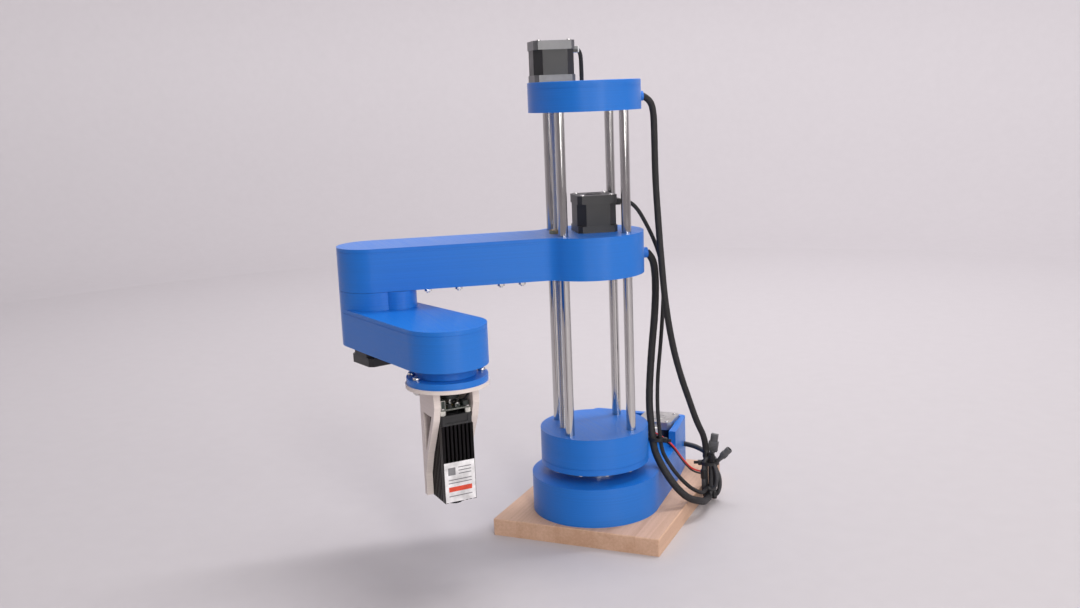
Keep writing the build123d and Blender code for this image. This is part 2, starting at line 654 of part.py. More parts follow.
def cheek(low, high):
    """A side cheek of the bracket between two y limits, deep at its top and a narrow strip below."""
    outline = [
        (BRACKET_BACK, BRACKET_LOW + 1), (19.5, BRACKET_LOW + 1), (20.5, 187), (16, 173),
        (-3.5, 136), (-11.5, 115), (-11.5, 93), (BRACKET_BACK, 93),
    ]
    window = [(-9.5, 177), (11.5, 177), (9.8, 173), (-7.5, 138)]
    side = make_face(Polyline(*outline, close=True)) - make_face(Polyline(*window, close=True))
    return Pos(0, high, 0) * extrude(Plane.XZ * side, high - low)


def laser_bracket():
    """A ring plate, a back plate and two cheeks, printed in one piece."""
    ring = upright(WRIST_R, BRACKET_LOW, FLANGE_LOW) - upright(7, 190, 220)
    back = block((BRACKET_BACK, LASER_AT - LASER_HALF), (-CHEEK_OUTER, CHEEK_OUTER), (93, BRACKET_LOW + 1))
    cheeks = cheek(-CHEEK_OUTER, -CHEEK_INNER) + cheek(CHEEK_INNER, CHEEK_OUTER)
    bracket = ring + back + cheeks
    return on_tool(bracket - [upright(2.1, 190, 220, at) for at in FLANGE_BOLT_PLACES])


def laser_heatsink():
    """A square finned block with a bore for the lens."""
    core = block((-LASER_HALF, LASER_HALF), (-LASER_HALF, LASER_HALF), (LASER_LOW, LASER_TOP))
    count, depth = 8, 4.2
    pitch = 2 * LASER_HALF / count
    for i in range(1, count):
        at = -LASER_HALF + i * pitch
        core -= block((LASER_HALF - depth, 20), (at - 0.9, at + 0.9), (LASER_LOW - 1, LASER_TOP + 1))
        for side in (-1, 1):
            y = sorted((side * (LASER_HALF - depth), side * 20))
            if i < count - 1:
                core -= block((at - 0.9, at + 0.9), y, (LASER_LOW - 1, LASER_TOP + 1))
    return on_tool(Pos(LASER_AT, 0, 0) * (core - upright(7.05, LASER_LOW - 1, LASER_LOW + 14)))


def lens_ring():
    ring = upright(7.0, LASER_LOW - 5, LASER_LOW + 12) - upright(3.0, LASER_LOW - 6, LASER_LOW + 8)
    knurl = [upright(0.6, LASER_LOW - 6, LASER_LOW - 1, at) for at in ring_of(24, 7.2)]
    return on_tool(Pos(LASER_AT, 0, 0) * (ring - knurl))


def fan_frame():
    low, high = LASER_TOP, LASER_TOP + 10
    frame = block((-16, 16), (-16, 16), (low, high))
    frame = fillet(frame.edges().filter_by(Axis.Z), 3)
    frame -= upright(14.6, low + 2, high + 1)
    frame -= tube(14.6, 8, low - 1, low + 3)
    arms = block((-16, 16), (-1.2, 1.2), (low, low + 1.6)) + block((-1.2, 1.2), (-16, 16), (low, low + 1.6))
    frame += (upright(8, low, low + 1.6) + arms) & block((-16, 16), (-16, 16), (low, high))
    frame -= [upright(1.7, low - 1, high + 1, (x, y)) for x in (-12.6, 12.6) for y in (-12.6, 12.6)]
    recess = block((15.1, 17), (-11, 11), (low + 2.2, high - 2.2))
    frame -= [Rot(0, 0, 90 * turn) * recess for turn in range(4)]
    return on_tool(Pos(LASER_AT, 0, 0) * frame)


def fan_rotor():
    low, high = LASER_TOP + 2.2, LASER_TOP + 9
    hub = upright(7.5, low, high)
    blade = Pos(10.4, 0, (low + high) / 2) * Rot(38, 0, 0) * Box(7.4, 8, 1.1)
    blades = [Rot(0, 0, 360 / 7 * i) * blade for i in range(7)]
    return on_tool(Pos(LASER_AT, 0, 0) * ((hub + blades) & upright(14.2, low, high)))


def driver_board():
    """The laser's circuit board on four posts, with its plug sockets, parts and adjusting knob."""
    low = LASER_TOP + 10
    board = block((-15, 15), (-15, 15), (low + 4.5, low + 6.1))
    corners = [(x, y) for x in (-12.6, 12.6) for y in (-12.6, 12.6)]
    posts = [upright(2.6, low, low + 4.5, at) - upright(1.2, low - 1, low + 5, at) for at in corners]
    top = low + 6.1
    sockets = [
        block((5, 14), (-14.5, -10), (top, top + 9)),
        block((8.5, 12.5), (1, 5), (top, top + 3.6)),
        block((3, 13), (8.5, 14.5), (top, top + 5)),
    ]
    knob = upright(3.4, top, top + 6.8, (-1, 0)) + upright(9.8, top + 6.8, top + 10.8, (-1, 0))
    return [on_tool(Pos(LASER_AT, 0, 0) * s) for s in [board, knob] + posts + sockets]


# ---------------------------------------------------------------- cables
def bend_radii(points):
    """The largest arc that each corner's two runs leave room for."""
    radii = []
    for before, here, after in zip(points, points[1:], points[2:]):
        first = Vector(*here) - Vector(*before)
        second = Vector(*after) - Vector(*here)
        turn = first.get_angle(second)
        radii.append(0.45 * min(first.length, second.length) / math.tan(math.radians(turn / 2)))
    return radii


def cable(name, points, diameter):
    """A round tube along straight runs joined by tangent arcs."""
    radii = bend_radii(points)
    path = FilletPolyline(*points, radius=radii)
    start = Plane(origin=path @ 0, z_dir=path % 0)
    solid = sweep(start * Circle(diameter / 2), path=path)
    expected = math.pi * diameter**2 / 4 * path.length
    print(name, f"length {path.length:.0f}, volume ratio {solid.volume / expected:.3f}, tightest {min(radii):.1f}",
          [round(r) for r in radii])
    return solid


def motor_wires():
    """A red and a black wire side by side from the base motor's plug."""
    beside = [(x, y, z - WIRE_D - 0.5) for x, y, z in MOTOR_WIRES]
    return [cable("motor wire", MOTOR_WIRES, WIRE_D), cable("second motor wire", beside, WIRE_D)]


def cable_hank():
    """The outer shape of the folded cables that stand tied together beside the board."""
    hank = block(*zip(HANK_LOW, HANK_HIGH))
    return fillet(hank.edges().filter_by(Axis.Y), 9)


def hank_plugs():
    """A flat plug and a round connector at the top of the hank."""
    low = HANK_HIGH[2]
    flat = block((101, 112), (95, 101), (low, low + 15)) + block((102.5, 110.5), (95.8, 100.2), (low + 15, low + 24))
    flat = Pos(106.5, 0, low) * Rot(0, 8, 0) * Pos(-106.5, 0, -low) * flat
    round_one = Pos(116.5, 90, 52) * Rot(0, 42, 0) * Pos(0, 0, 10) * Cylinder(4, 18)
    return [flat - block((90, 125), (80, 110), (low - 5, low)), round_one - cable_hank()]


NODES = {
    "mounting_board": mounting_board,
    "base_screws": base_screws,
    "base_housing": base_housing,
    "base_bearings": base_bearings,
    "j1_motor": j1_motor,
    "j1_motor_rotor": j1_motor_rotor,
    "j1_mid_pulley": j1_mid_pulley,
    "j1_belts": j1_belts,
    "column_base_plate": column_base_plate,
    "column_coupler": column_coupler,
    "column_base_bolts": column_base_bolts,
    "column_base_cup": column_base_cup,
    "thrust_bearing": thrust_bearing,
    "rod_clamps": rod_clamps,
    "guide_rods": guide_rods,
    "screw_bearing": screw_bearing,
    "top_plate_cup": top_plate_cup,
    "top_plate_cover": top_plate_cover,
    "z_motor": z_motor,
    "z_motor_rotor": z_motor_rotor,
    "shaft_coupler": shaft_coupler,
    "lead_screw": lead_screw,
    "carriage_housing": carriage_housing,
    "arm_1_housing": arm_1_housing,
    "arm_1_lid": arm_1_lid,
    "arm_1_bolts": arm_1_bolts,
    "linear_bearings": linear_bearings,
    "lead_nut": lead_nut,
    "j2_motor": j2_motor,
    "j2_motor_rotor": j2_motor_rotor,
    "j2_mid_pulley": j2_mid_pulley,
    "j2_belts": j2_belts,
    "elbow_bearings": elbow_bearings,
    "arm_2_housing": arm_2_housing,
    "arm_2_lid": arm_2_lid,
    "elbow_coupler": elbow_coupler,
    "elbow_thrust_bearing": elbow_thrust_bearing,
    "j3_motor": j3_motor,
    "j3_motor_rotor": j3_motor_rotor,
    "j3_belt": j3_belt,
    "wrist_bearings": wrist_bearings,
    "wrist_coupler": wrist_coupler,
    "tool_flange": tool_flange,
    "flange_bolts": flange_bolts,
    "laser_bracket": laser_bracket,
    "laser_heatsink": laser_heatsink,
    "lens_ring": lens_ring,
    "fan_frame": fan_frame,
    "fan_rotor": fan_rotor,
    "driver_board": driver_board,
    "z_motor_lead": lambda: on_arm_1(cable("z_motor_lead", Z_MOTOR_LEAD, LEAD_D)),
    "top_loom": lambda: cable("top_loom", TOP_LOOM, TOP_LOOM_D),
    "arm_loom_upper": lambda: cable("arm_loom_upper", ARM_LOOM_UPPER, ARM_LOOM_D),
    "arm_loom_lower": lambda: cable("arm_loom_lower", ARM_LOOM_LOWER, ARM_LOOM_D),
    "joint_2_lead_upper": lambda: cable("joint_2_lead_upper", JOINT_2_LEAD_UPPER, LEAD_D),
    "joint_2_lead_lower": lambda: cable("joint_2_lead_lower", JOINT_2_LEAD_LOWER, LEAD_D),
    "motor_wires": motor_wires,
    "tail_lead": lambda: cable("tail_lead", TAIL_LEAD, TAIL_LEAD_D),
    "cable_hank": cable_hank,
    "hank_plugs": hank_plugs,
}


def main():
    os.makedirs("parts", exist_ok=True)
    for name, make in NODES.items():
        made = make()
        shape = group(made) if isinstance(made, list) else made
        export_step(shape, f"parts/{name}.step")


main()
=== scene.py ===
"""Looks of a tabletop SCARA robot arm with a laser tool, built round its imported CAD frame."""
import json
import math
import random

import bmesh
import bpy
from mathutils import Matrix, Vector


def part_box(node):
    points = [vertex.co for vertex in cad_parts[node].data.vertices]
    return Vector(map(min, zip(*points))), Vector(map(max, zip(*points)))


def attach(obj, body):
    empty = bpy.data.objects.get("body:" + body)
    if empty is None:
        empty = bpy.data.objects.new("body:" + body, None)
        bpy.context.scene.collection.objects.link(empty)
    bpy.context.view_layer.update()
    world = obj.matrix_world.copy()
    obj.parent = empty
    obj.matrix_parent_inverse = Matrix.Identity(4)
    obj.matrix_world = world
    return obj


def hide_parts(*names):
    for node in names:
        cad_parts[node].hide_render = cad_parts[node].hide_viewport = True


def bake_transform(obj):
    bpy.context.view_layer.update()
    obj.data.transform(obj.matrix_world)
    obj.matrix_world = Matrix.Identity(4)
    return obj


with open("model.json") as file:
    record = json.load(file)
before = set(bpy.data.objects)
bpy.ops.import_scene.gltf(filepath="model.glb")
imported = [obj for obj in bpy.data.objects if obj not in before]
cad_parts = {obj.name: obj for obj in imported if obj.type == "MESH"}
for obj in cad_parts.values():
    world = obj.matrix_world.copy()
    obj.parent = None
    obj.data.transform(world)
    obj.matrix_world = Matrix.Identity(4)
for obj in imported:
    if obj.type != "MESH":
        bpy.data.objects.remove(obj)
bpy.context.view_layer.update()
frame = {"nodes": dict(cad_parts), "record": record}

NODES = frame["nodes"]
MM = 0.001

# ---- the headings and axes that the frame is built on, in degrees and millimetres
ARM_1_HEADING = 214.0
ARM_2_HEADING = 329.5
TOOL_HEADING = 320.0


def along(heading, distance):
    return Vector((math.cos(math.radians(heading)), math.sin(math.radians(heading)), 0)) * distance


ELBOW = along(ARM_1_HEADING, 228.0)
WRIST = ELBOW + along(ARM_2_HEADING, 136.5)


def place(origin, heading):
    """The matrix of a local frame at origin, in millimetres, turned about +Z."""
    return Matrix.Translation(Vector(origin) * MM) @ Matrix.Rotation(math.radians(heading), 4, "Z")


ON_ARM_1 = place((0, 0, 0), ARM_1_HEADING)
ON_TOOL = place(WRIST, TOOL_HEADING)
ON_LASER = ON_TOOL @ Matrix.Translation((2 * MM, 0, 0))


# ---------------------------------------------------------------- camera, light and floor
def camera():
    azimuth, elevation, roll = (math.radians(a) for a in (23.63, 10.87, -2.24))
    back = Vector((
        math.sin(azimuth) * math.cos(elevation),
        -math.cos(azimuth) * math.cos(elevation),
        math.sin(elevation),
    ))
    side = Vector((math.cos(azimuth), math.sin(azimuth), 0))
    up = back.cross(side)
    x_axis = side * math.cos(roll) + up * math.sin(roll)
    y_axis = up * math.cos(roll) - side * math.sin(roll)
    data = bpy.data.cameras.new("camera")
    data.lens = 36.80
    data.sensor_width = 36.0
    made = bpy.data.objects.new("camera", data)
    bpy.context.scene.collection.objects.link(made)
    turn = Matrix((x_axis, y_axis, back)).transposed().to_4x4()
    made.matrix_world = Matrix.Translation((0.41721, -1.08873, 0.4711)) @ turn
    bpy.context.scene.camera = made


def softbox(name, at, size, watts, colour, towards=(0, 0, 0.25)):
    data = bpy.data.lights.new(name, "AREA")
    data.shape = "RECTANGLE"
    data.size, data.size_y = size
    data.energy = watts
    data.color = colour
    made = bpy.data.objects.new(name, data)
    bpy.context.scene.collection.objects.link(made)
    made.location = at
    aim = Vector(towards) - Vector(at)
    made.rotation_euler = aim.to_track_quat("-Z", "Y").to_euler()


def studio():
    softbox("strip_light", (1.12, -1.42, 1.0), (0.30, 1.5), 17, (1.0, 0.98, 0.95))
    softbox("side_light", (1.75, -0.55, 1.0), (1.3, 1.3), 13, (1.0, 0.97, 0.94))
    softbox("fill_light", (-1.9, -1.0, 1.1), (1.4, 1.4), 2.5, (0.95, 0.97, 1.0))
    softbox("top_light", (0.1, 0.5, 2.2), (1.8, 1.4), 15, (1.0, 0.99, 0.98))
    softbox("wall_light", (0.5, 0.9, 2.7), (2.4, 0.6), 85, (1.0, 0.98, 1.0), (-1.3, 2.9, 0.9))
    world = bpy.data.worlds.new("studio")
    world.use_nodes = True
    world.node_tree.nodes["Background"].inputs["Color"].default_value = (0.36, 0.345, 0.365, 1)
    world.node_tree.nodes["Background"].inputs["Strength"].default_value = 1.0
    bpy.context.scene.world = world
    bpy.context.scene.view_settings.view_transform = "Standard"


def floor():
    """A round studio: a pale floor that curves up into a wall all the way round."""
    bend, reach, height = 0.9, 3.0, 3.2
    profile = [(0.0, 0.0), (reach - bend, 0.0)]
    profile += [
        (reach - bend + bend * math.sin(a), bend - bend * math.cos(a))
        for a in (math.radians(7.5 * i) for i in range(1, 13))
    ]
    profile.append((reach, height))
    bm = bmesh.new()
    sides = 96
    rings = [
        [
            bm.verts.new((r * math.cos(2 * math.pi * i / sides), r * math.sin(2 * math.pi * i / sides), z))
            for i in range(sides)
        ]
        for r, z in profile[1:]
    ]
    bm.faces.new(rings[0])
    for lower, upper in zip(rings, rings[1:]):
        for i in range(sides):
            j = (i + 1) % sides
            bm.faces.new((lower[i], lower[j], upper[j], upper[i]))
    made = bpy.data.objects.new("floor", mesh_of(bm, "floor", 60))
    bpy.context.scene.collection.objects.link(made)
    mat, tree, shader = start("floor_paint", (0.50, 0.475, 0.49), 0.6)
    speckle = add(tree, "TexNoise", {"Scale": 40.0, "Detail": 6.0, "Vector": object_coords(tree)})
    tint(tree, shader, speckle.outputs["Fac"], (0.485, 0.46, 0.475), (0.515, 0.49, 0.505))
    made.data.materials.append(mat)


# ---------------------------------------------------------------- shader helpers
def start(name, colour, roughness, metallic=0.0):
    """A new material, its node tree and its shader node."""
    mat = bpy.data.materials.new(name)
    mat.use_nodes = True
    shader = mat.node_tree.nodes["Principled BSDF"]
    shader.inputs["Base Color"].default_value = (*colour, 1)
    shader.inputs["Roughness"].default_value = roughness
    shader.inputs["Metallic"].default_value = metallic
    return mat, mat.node_tree, shader


def add(tree, kind, sockets=(), **settings):
    made = tree.nodes.new("ShaderNode" + kind)
    for key, value in settings.items():
        setattr(made, key, value)
    for key, value in dict(sockets).items():
        if isinstance(value, bpy.types.NodeSocket):
            tree.links.new(value, made.inputs[key])
        else:
            made.inputs[key].default_value = value
    return made


def object_coords(tree):
    return add(tree, "TexCoord").outputs["Object"]


def sums(tree, operation, first, second=0.0):
    return add(tree, "Math", {0: first, 1: second}, operation=operation).outputs[0]


def stretched(tree, scale, coords=None):
    """Coordinates multiplied by scale, one factor for each axis."""
    coords = coords or object_coords(tree)
    return add(tree, "Mapping", {"Vector": coords, "Scale": scale}).outputs[0]


def mask(tree, value, low, high):
    """0 below low and 1 above high."""
    made = add(tree, "MapRange", {"Value": value, "From Min": low, "From Max": high})
    return made.outputs["Result"]


def mixed(tree, factor, first, second):
    made = add(tree, "Mix", data_type="RGBA")
    for key, value in (("Factor", factor), ("A", first), ("B", second)):
        socket = [s for s in made.inputs if s.name == key and s.enabled][0]
        if isinstance(value, bpy.types.NodeSocket):
            tree.links.new(value, socket)
        else:
            socket.default_value = (*value, 1) if isinstance(value, tuple) else value
    return [s for s in made.outputs if s.enabled][0]


def tint(tree, shader, factor, first, second):
    """Base colour that runs from first to second with factor, and the socket it comes from."""
    colour = mixed(tree, factor, first, second)
    tree.links.new(colour, shader.inputs["Base Color"])
    return colour


def vary(tree, shader, factor, low, high):
    made = add(tree, "MapRange", {"Value": factor, "To Min": low, "To Max": high})
    tree.links.new(made.outputs["Result"], shader.inputs["Roughness"])


def bump(tree, shader, height, distance, strength=1.0):
    made = add(tree, "Bump", {"Height": height, "Distance": distance, "Strength": strength})
    before = shader.inputs["Normal"]
    if before.is_linked:
        tree.links.new(before.links[0].from_socket, made.inputs["Normal"])
    tree.links.new(made.outputs[0], before)


def scaled(colour, factor):
    return tuple(min(1.0, c * factor) for c in colour)


# ---------------------------------------------------------------- materials
def printed(name, colour, roughness, layer=0.25):
    """Layered plastic: level bands on walls, slanting passes on tops, highlights drawn out across them."""
    mat, tree, shader = start(name, colour, roughness)
    coords = object_coords(tree)
    facing = add(tree, "SeparateXYZ", {0: add(tree, "NewGeometry").outputs["True Normal"]}).outputs["Z"]
    level = mask(tree, sums(tree, "ABSOLUTE", facing), 0.7, 0.8)
    split = add(tree, "SeparateXYZ", {0: coords})
    slant = sums(tree, "ADD", split.outputs["X"], split.outputs["Y"])
    height = sums(tree, "MULTIPLY", split.outputs["Z"], 2 * math.pi / (layer * MM))
    passes = sums(tree, "MULTIPLY", slant, 2 * math.pi / (0.62 * MM))
    ridge = mixed(tree, level, sums(tree, "SINE", height), sums(tree, "SINE", passes))
    bands = add(tree, "TexNoise", {"Vector": stretched(tree, (5, 5, 1700), coords), "Scale": 1.0, "Detail": 4.0})
    turned = add(tree, "VectorRotate", {"Vector": coords, "Angle": math.radians(45)}, rotation_type="Z_AXIS")
    across = stretched(tree, (12, 700, 12), turned.outputs[0])
    rows = add(tree, "TexNoise", {"Vector": across, "Scale": 1.0, "Detail": 3.0})
    streak = mixed(tree, level, bands.outputs["Fac"], rows.outputs["Fac"])
    streak = mask(tree, streak, 0.3, 0.7)
    tint(tree, shader, streak, scaled(colour, 0.94), scaled(colour, 1.06))
    vary(tree, shader, streak, roughness - 0.05, roughness + 0.07)
    bump(tree, shader, ridge, 0.012 * MM)
    bump(tree, shader, streak, 0.022 * MM)
    tangent = add(tree, "Mix", {"Factor": level}, data_type="VECTOR")
    tangent.inputs[4].default_value = (0, 0, 1)
    tangent.inputs[5].default_value = (0.707, 0.707, 0)
    tree.links.new(tangent.outputs[1], shader.inputs["Tangent"])
    shader.inputs["Specular IOR Level"].default_value = 0.36
    shader.inputs["Anisotropic"].default_value = 0.8
    return mat


def metal(name, colour, roughness, scratch=0.06, axis_scale=(900, 900, 12)):
    """Ground or polished metal with fine marks along one way."""
    mat, tree, shader = start(name, colour, roughness, 1.0)
    marks = add(tree, "TexNoise", {"Vector": stretched(tree, axis_scale), "Scale": 1.0, "Detail": 5.0}).outputs["Fac"]
    smudge = add(tree, "TexNoise", {"Vector": object_coords(tree), "Scale": 38.0, "Detail": 3.0}).outputs["Fac"]
    both = sums(tree, "MULTIPLY", sums(tree, "ADD", marks, smudge), 0.5)
    tint(tree, shader, mask(tree, both, 0.35, 0.65), scaled(colour, 0.92), scaled(colour, 1.05))
    vary(tree, shader, mask(tree, both, 0.3, 0.7), max(0.04, roughness - scratch), roughness + scratch)
    bump(tree, shader, marks, 0.004 * MM)
    return mat


def moulded(name, colour, roughness, grain=0.25):
    """Moulded plastic, rubber or cable jacket with a fine grain and faint marks."""
    mat, tree, shader = start(name, colour, roughness)
    coords = object_coords(tree)
    fine = add(tree, "TexNoise", {"Vector": coords, "Scale": 1600.0, "Detail": 2.0}).outputs["Fac"]
    wide = add(tree, "TexNoise", {"Vector": coords, "Scale": 90.0, "Detail": 5.0}).outputs["Fac"]
    tint(tree, shader, mask(tree, wide, 0.35, 0.7), scaled(colour, 0.8), scaled(colour, 1.35))
    vary(tree, shader, mask(tree, wide, 0.3, 0.7), roughness - 0.08, roughness + 0.1)
    bump(tree, shader, fine, 0.02 * MM, grain)
    return mat


def beech():
    """Glued beech strips with long fibres, short dark flecks and end grain on the short sides."""
    light, dark = (0.66, 0.43, 0.30), (0.53, 0.32, 0.205)
    mat, tree, shader = start("beech_board", light, 0.5)
    coords = object_coords(tree)
    split = add(tree, "SeparateXYZ", {0: coords})
    strip = sums(tree, "FLOOR", sums(tree, "DIVIDE", sums(tree, "ADD", split.outputs["X"], 0.2), 0.045))
    shade = add(tree, "TexWhiteNoise", {"W": strip}, noise_dimensions="1D").outputs["Value"]
    shift = add(tree, "CombineXYZ", {"X": sums(tree, "MULTIPLY", strip, 3.7), "Y": 0.0, "Z": strip}).outputs[0]
    moved = add(tree, "VectorMath", {0: coords, 1: shift}, operation="ADD").outputs[0]
    fibres = add(tree, "TexNoise", {"Vector": stretched(tree, (420, 9, 420), moved), "Scale": 1.0, "Detail": 6.0})
    rings = add(tree, "TexNoise", {"Vector": stretched(tree, (60, 2.5, 60), moved), "Scale": 1.0, "Detail": 2.0})
    flecks = add(tree, "TexNoise", {"Vector": stretched(tree, (1500, 160, 1500), moved), "Scale": 1.0, "Detail": 1.0})
    grain = sums(tree, "ADD", sums(tree, "MULTIPLY", fibres.outputs["Fac"], 0.5),
                 sums(tree, "MULTIPLY", rings.outputs["Fac"], 0.5))
    grain = sums(tree, "ADD", grain, sums(tree, "MULTIPLY", sums(tree, "SUBTRACT", shade, 0.5), 0.16))
    base = mixed(tree, mask(tree, grain, 0.36, 0.66), dark, light)
    fleck = mask(tree, flecks.outputs["Fac"], 0.62, 0.72)
    colour = mixed(tree, sums(tree, "MULTIPLY", fleck, 0.35), base, (0.36, 0.2, 0.11))
    tree.links.new(colour, shader.inputs["Base Color"])
    vary(tree, shader, fibres.outputs["Fac"], 0.42, 0.62)
    bump(tree, shader, fibres.outputs["Fac"], 0.06 * MM)
    return mat


def motor_paint(name, low, high, cap_colour, cap_metallic):
    """Black lamination stack between two heights, and end caps of another finish above and below."""
    mat, tree, shader = start(name, (0.02, 0.02, 0.022), 0.38)
    coords = object_coords(tree)
    z = add(tree, "SeparateXYZ", {0: coords}).outputs["Z"]
    middle = sums(tree, "MULTIPLY", sums(tree, "GREATER_THAN", z, low), sums(tree, "LESS_THAN", z, high))
    sheets = sums(tree, "SINE", sums(tree, "MULTIPLY", z, 2 * math.pi / (0.9 * MM)))
    cast = add(tree, "TexNoise", {"Vector": coords, "Scale": 700.0, "Detail": 3.0}).outputs["Fac"]
    rubbed = add(tree, "TexNoise", {"Vector": coords, "Scale": 60.0, "Detail": 5.0}).outputs["Fac"]
    stack = mixed(tree, mask(tree, sheets, -0.6, 0.9), (0.009, 0.009, 0.010), (0.024, 0.024, 0.027))
    caps = mixed(tree, mask(tree, rubbed, 0.35, 0.7), scaled(cap_colour, 0.85), scaled(cap_colour, 1.12))
    tree.links.new(mixed(tree, middle, caps, stack), shader.inputs["Base Color"])
    shine = sums(tree, "MULTIPLY", sums(tree, "SUBTRACT", 1.0, middle), cap_metallic)
    tree.links.new(shine, shader.inputs["Metallic"])
    vary(tree, shader, rubbed, 0.3, 0.5)
    relief = mixed(tree, middle, cast, sheets)
    bump(tree, shader, relief, 0.03 * MM, 0.6)
    return mat


def braid(name, colour, strands):
    """A woven sleeve. The mesh's UV has turns round the tube in U and metres along it in V."""
    mat, tree, shader = start(name, colour, 0.62)
    uv = add(tree, "SeparateXYZ", {0: add(tree, "TexCoord").outputs["UV"]})
    around = sums(tree, "MULTIPLY", uv.outputs["X"], strands * math.pi)
    length = sums(tree, "MULTIPLY", uv.outputs["Y"], math.pi / (1.5 * MM))
    left = sums(tree, "ABSOLUTE", sums(tree, "SINE", sums(tree, "ADD", around, length)))
    right = sums(tree, "ABSOLUTE", sums(tree, "SINE", sums(tree, "SUBTRACT", around, length)))
    weave = sums(tree, "MULTIPLY", left, right)
    worn = add(tree, "TexNoise", {"Vector": object_coords(tree), "Scale": 120.0, "Detail": 4.0}).outputs["Fac"]
    both = sums(tree, "ADD", sums(tree, "MULTIPLY", weave, 0.6), sums(tree, "MULTIPLY", worn, 0.4))
    # the colour is partly painted: the gaps between strands are painted shade and the strand crests a painted sheen,
    # mixed with random tone from the worn noise
    tint(tree, shader, mask(tree, both, 0.15, 0.8), scaled(colour, 0.45), scaled(colour, 1.5))
    vary(tree, shader, weave, 0.75, 0.45)
    bump(tree, shader, weave, 0.25 * MM, 0.8)
    return mat


SLOTS = {
    "blue_plastic": printed("blue_print", (0.013, 0.165, 0.600), 0.36),
    "dark_plastic": printed("dark_blue_print", (0.014, 0.085, 0.36), 0.40),
    "white_plastic": printed("white_print", (0.74, 0.66, 0.62), 0.48),
    "beech": beech(),
    "rod_steel": metal("rod_steel", (0.60, 0.59, 0.585), 0.14),
    "bearing_steel": metal("bearing_steel", (0.66, 0.66, 0.67), 0.16, axis_scale=(60, 60, 900)),
    "bolt_steel": metal("bolt_steel", (0.68, 0.67, 0.66), 0.24, axis_scale=(200, 200, 200)),
    "motor_black": moulded("motor_black", (0.02, 0.02, 0.022), 0.4),
    "shaft_steel": metal("shaft_steel", (0.62, 0.62, 0.62), 0.18),
    "coupling_aluminium": metal("coupling_aluminium", (0.74, 0.74, 0.76), 0.28, axis_scale=(80, 80, 900)),
    "nut_brass": metal("nut_brass", (0.72, 0.50, 0.20), 0.26, axis_scale=(200, 200, 900)),
    "belt_rubber": moulded("belt_rubber", (0.018, 0.018, 0.018), 0.7, 0.5),
    "black_aluminium": metal("black_anodised", (0.018, 0.017, 0.018), 0.36, axis_scale=(500, 500, 60)),
    "black_plastic": moulded("black_plastic", (0.014, 0.014, 0.015), 0.42),
    "circuit_board": moulded("circuit_board", (0.02, 0.03, 0.025), 0.35),
    "braided_sleeve": braid("braided_sleeve", (0.014, 0.013, 0.014), 16),
    "wire_red": moulded("wire_red", (0.50, 0.022, 0.018), 0.36, 0.1),
    "cable_grey": moulded("cable_grey", (0.040, 0.040, 0.043), 0.52, 0.3),
    "plug_grey": moulded("plug_grey", (0.085, 0.085, 0.09), 0.5, 0.4),
}
WHITE_CLIP = moulded("white_connector", (0.72, 0.71, 0.68), 0.4, 0.2)
WIRE_BLACK = moulded("wire_black", (0.012, 0.012, 0.013), 0.38, 0.1)
TIE_BLACK = moulded("tie_black", (0.010, 0.010, 0.011), 0.45, 0.2)
NYLON = moulded("nylon_white", (0.62, 0.61, 0.57), 0.45, 0.2)
PAPER = moulded("label_paper", (0.72, 0.71, 0.72), 0.42, 0.1)
INK_GREY = moulded("ink_grey", (0.20, 0.20, 0.21), 0.5, 0.1)
# flat black for the painted shade that stands for the hex sockets in the bolt heads
SOCKET_SHADE_BLACK = moulded("painted_socket_shade", (0.02, 0.018, 0.018), 0.5, 0.1)
INK_RED = moulded("ink_red", (0.62, 0.060, 0.025), 0.45, 0.1)
FIBREGLASS = moulded("board_edge", (0.42, 0.42, 0.38), 0.5, 0.3)


def heights(node):
    low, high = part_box(node)
    return low.z, high.z


def finish_nodes():
    """Every CAD node takes its slot's material; the motors get their own."""
    own = {}
    grey, black, silver = (0.16, 0.16, 0.165), (0.022, 0.022, 0.024), (0.50, 0.49, 0.48)
    front, rear, pilot = 7.0 * MM, 9.0 * MM, 2.0 * MM
    for node, caps, shine in (("z_motor", grey, 0.5), ("j2_motor", black, 0.0), ("j1_motor", silver, 0.9)):
        low, high = heights(node)
        own[node] = motor_paint(node + "_paint", low + pilot + front, high - rear, caps, shine)
    low, high = heights("j3_motor")
    own["j3_motor"] = motor_paint("j3_motor_paint", low + rear, high - pilot - front, black, 0.0)
    for row in frame["record"]["subparts"]:
        mesh = NODES[row["node"]].data
        mesh.materials.clear()
        mesh.materials.append(own.get(row["node"], SLOTS[row["material_slot"]]))


# ---------------------------------------------------------------- mesh helpers
def piece(name, mesh, body, materials, at=Matrix.Identity(4)):
    """A new visible piece that rides on a body."""
    made = bpy.data.objects.new(name, mesh)
    bpy.context.scene.collection.objects.link(made)
    made.matrix_world = at
    for mat in materials:
        mesh.materials.append(mat)
    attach(made, body)
    return made


def mesh_of(bm, name, smooth_angle=40):
    mesh = bpy.data.meshes.new(name)
    bm.normal_update()
    for edge in bm.edges:
        edge.smooth = len(edge.link_faces) == 2 and edge.calc_face_angle(0) < math.radians(smooth_angle)
    for face in bm.faces:
        face.smooth = True
    bm.to_mesh(mesh)
    bm.free()
    return mesh


def bevelled_box(bm, size, centre, bevel, material=0, turn=Matrix.Identity(4)):
    """A box with rounded edges, in millimetres, added to bm."""
    made = bmesh.ops.create_cube(bm, size=1.0)["verts"]
    stretch = Matrix.Diagonal((*[s * MM for s in size], 1))
    bmesh.ops.transform(bm, matrix=turn @ Matrix.Translation(Vector(centre) * MM) @ stretch, verts=made)
    edges = list(dict.fromkeys(e for v in made for e in v.link_edges))
    faces = list(dict.fromkeys(f for v in made for f in v.link_faces))
    if bevel:
        cut = bmesh.ops.bevel(bm, geom=edges + made, offset=bevel * MM, segments=2, profile=0.6, affect="EDGES")
        faces = [f for f in faces if f.is_valid] + cut["faces"]
    for face in faces:
        face.material_index = material


